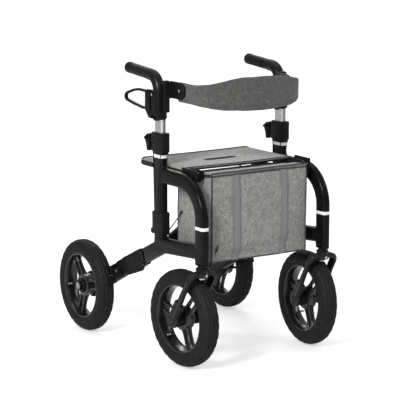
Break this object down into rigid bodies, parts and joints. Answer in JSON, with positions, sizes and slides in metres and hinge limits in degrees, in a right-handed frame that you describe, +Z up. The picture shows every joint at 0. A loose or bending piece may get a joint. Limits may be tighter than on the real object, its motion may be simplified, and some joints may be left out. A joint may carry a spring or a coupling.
{
  "type": "rollator walker",
  "caption": "Folding walking frame with pneumatic wheels, swivelling front casters, loop brakes, fabric seat, lidded bag and a padded backrest band.",
  "frame": {"origin": "on the floor, in the middle between the sides, halfway between the front and rear tyres", "axes": "+Z up, -Y the way the person walks, +X to the walker's left"},
  "size_m": [0.61, 0.8278, 0.8974],
  "materials": {
    "frame_paint": "satin black powder coat",
    "fork_paint": "satin black",
    "arm_paint": "satin black",
    "handle_paint": "satin black",
    "black_plastic": "fine moulded grain",
    "lever_plastic": "fine moulded grain",
    "hub_plastic": "moulded",
    "grip_rubber": "matt soft rubber",
    "rail_black": "matt",
    "reflective_white": "reflective white film",
    "steel": "zinc plated",
    "silver_tube": "brushed anodised",
    "rim_black": "satin black moulded",
    "tyre_rubber": "matt treaded rubber",
    "seat_fabric": "grey heather polyester",
    "bag_fabric": "grey heather polyester",
    "band_fabric": "grey heather polyester, padded",
    "stay_cord": "black braided cord"
  },
  "bodies": {
    "right_side": {"right_frame": "frame_paint", "right_rear_leg": "frame_paint", "right_leg_casing": "black_plastic", "right_height_collar": "black_plastic", "right_lower_collar": "black_plastic", "right_reflectors": "reflective_white", "right_caster_bearing": "black_plastic", "right_rear_axle": "steel", "right_seat_catch": "black_plastic", "bag": "bag_fabric", "bag_stays": "stay_cord"},
    "left_side": {"left_frame": "frame_paint", "left_rear_leg": "frame_paint", "left_leg_casing": "black_plastic", "left_height_collar": "black_plastic", "left_lower_collar": "black_plastic", "left_reflectors": "reflective_white", "left_caster_bearing": "black_plastic", "left_rear_axle": "steel", "left_seat_catch": "black_plastic"},
    "arm_a": {"cross_arm_a": "arm_paint", "cross_bolt": "steel", "left_seat_rail": "rail_black", "seat": "seat_fabric"},
    "arm_b": {"cross_arm_b": "arm_paint", "right_seat_rail": "rail_black"},
    "lid": {"bag_lid": "bag_fabric"},
    "right_handle": {"right_inner_tube": "silver_tube", "right_handle_tube": "handle_paint", "right_grip": "grip_rubber", "right_brake_housing": "black_plastic", "right_backrest_plate": "black_plastic", "backrest": "band_fabric"},
    "right_brake_grip": {"right_brake_lever": "lever_plastic"},
    "right_clamp_lever": {"right_height_lever": "lever_plastic"},
    "right_brake_shoe": {"right_brake_arm": "black_plastic"},
    "right_caster": {"right_fork": "fork_paint", "right_front_axle": "steel"},
    "right_front_wheel": {"right_front_rim": "rim_black", "right_front_tyre": "tyre_rubber", "right_front_hub": "hub_plastic"},
    "right_rear_wheel": {"right_rear_rim": "rim_black", "right_rear_tyre": "tyre_rubber", "right_rear_hub": "hub_plastic"},
    "left_handle": {"left_inner_tube": "silver_tube", "left_handle_tube": "handle_paint", "left_grip": "grip_rubber", "left_brake_housing": "black_plastic", "left_backrest_plate": "black_plastic"},
    "left_brake_grip": {"left_brake_lever": "lever_plastic"},
    "left_clamp_lever": {"left_height_lever": "lever_plastic"},
    "left_brake_shoe": {"left_brake_arm": "black_plastic"},
    "left_caster": {"left_fork": "fork_paint", "left_front_axle": "steel"},
    "left_front_wheel": {"left_front_rim": "rim_black", "left_front_tyre": "tyre_rubber", "left_front_hub": "hub_plastic"},
    "left_rear_wheel": {"left_rear_rim": "rim_black", "left_rear_tyre": "tyre_rubber", "left_rear_hub": "hub_plastic"}
  },
  "joints": [
    {"name": "fold", "type": "hinge", "parent": "right_side", "child": "arm_a", "pos_m": [-0.194, -0.1045, 0.347], "axis": [0, -1, 0], "range_deg": [0, 40.47], "deforming": ["seat", "bag", "bag_lid", "bag_stays", "backrest"]},
    {"name": "cross_fold", "type": "hinge", "parent": "arm_a", "child": "arm_b", "pos_m": [0, -0.092, 0.466], "axis": [0, -1, 0], "range_deg": [-80.94, 0]},
    {"name": "left_fold", "type": "hinge", "parent": "arm_b", "child": "left_side", "pos_m": [0.194, -0.0795, 0.347], "axis": [0, -1, 0], "range_deg": [0, 40.47]},
    {"name": "lid_hinge", "type": "hinge", "parent": "right_side", "child": "lid", "pos_m": [0, -0.232, 0.578], "axis": [-1, 0, 0], "range_deg": [0, 95]},
    {"name": "right_height", "type": "slide", "parent": "right_side", "child": "right_handle", "axis": [0, 0, 1], "range_m": [-0.035, 0.115]},
    {"name": "right_clamp", "type": "hinge", "parent": "right_side", "child": "right_clamp_lever", "pos_m": [-0.224, -0.065, 0.68], "axis": [1, 0, 0], "range_deg": [0, 100]},
    {"name": "right_brake", "type": "hinge", "parent": "right_handle", "child": "right_brake_grip", "pos_m": [-0.225, -0.08, 0.79], "axis": [1, 0, 0], "range_deg": [0, 15], "stiffness_Nm_per_rad": 3, "springref_deg": -5.73},
    {"name": "right_shoe", "type": "hinge", "parent": "right_side", "child": "right_brake_shoe", "pos_m": [-0.246, 0.1, 0.225], "axis": [1, 0, 0], "range_deg": [0, 3.2]},
    {"name": "right_swivel", "type": "hinge", "parent": "right_side", "child": "right_caster", "pos_m": [-0.224, -0.35, 0.33], "axis": [0, 0, 1], "continuous": true},
    {"name": "right_front_spin", "type": "hinge", "parent": "right_caster", "child": "right_front_wheel", "pos_m": [-0.2315, -0.26433, 0.15], "axis": [0.9962, 0.0872, 0], "continuous": true},
    {"name": "right_rear_spin", "type": "hinge", "parent": "right_side", "child": "right_rear_wheel", "pos_m": [-0.273, 0.264, 0.15], "axis": [1, 0, 0], "continuous": true},
    {"name": "left_height", "type": "slide", "parent": "left_side", "child": "left_handle", "axis": [0, 0, 1], "range_m": [-0.035, 0.115]},
    {"name": "left_clamp", "type": "hinge", "parent": "left_side", "child": "left_clamp_lever", "pos_m": [0.224, -0.065, 0.68], "axis": [1, 0, 0], "range_deg": [0, 100]},
    {"name": "left_brake", "type": "hinge", "parent": "left_handle", "child": "left_brake_grip", "pos_m": [0.225, -0.08, 0.79], "axis": [1, 0, 0], "range_deg": [0, 15], "stiffness_Nm_per_rad": 3, "springref_deg": -5.73},
    {"name": "left_shoe", "type": "hinge", "parent": "left_side", "child": "left_brake_shoe", "pos_m": [0.246, 0.1, 0.225], "axis": [1, 0, 0], "range_deg": [0, 3.2]},
    {"name": "left_swivel", "type": "hinge", "parent": "left_side", "child": "left_caster", "pos_m": [0.224, -0.35, 0.33], "axis": [0, 0, 1], "continuous": true},
    {"name": "left_front_spin", "type": "hinge", "parent": "left_caster", "child": "left_front_wheel", "pos_m": [0.2315, -0.26433, 0.15], "axis": [0.9962, -0.0872, 0], "continuous": true},
    {"name": "left_rear_spin", "type": "hinge", "parent": "left_side", "child": "left_rear_wheel", "pos_m": [0.273, 0.264, 0.15], "axis": [1, 0, 0], "continuous": true}
  ],
  "couplings": [
    {"joint": "cross_fold", "follows": "fold", "ratio": -2},
    {"joint": "left_fold", "follows": "fold", "ratio": 1},
    {"joint": "left_height", "follows": "right_height", "ratio": 1},
    {"joint": "right_shoe", "follows": "right_brake", "ratio": 0.21},
    {"joint": "left_shoe", "follows": "left_brake", "ratio": 0.21}
  ]
}
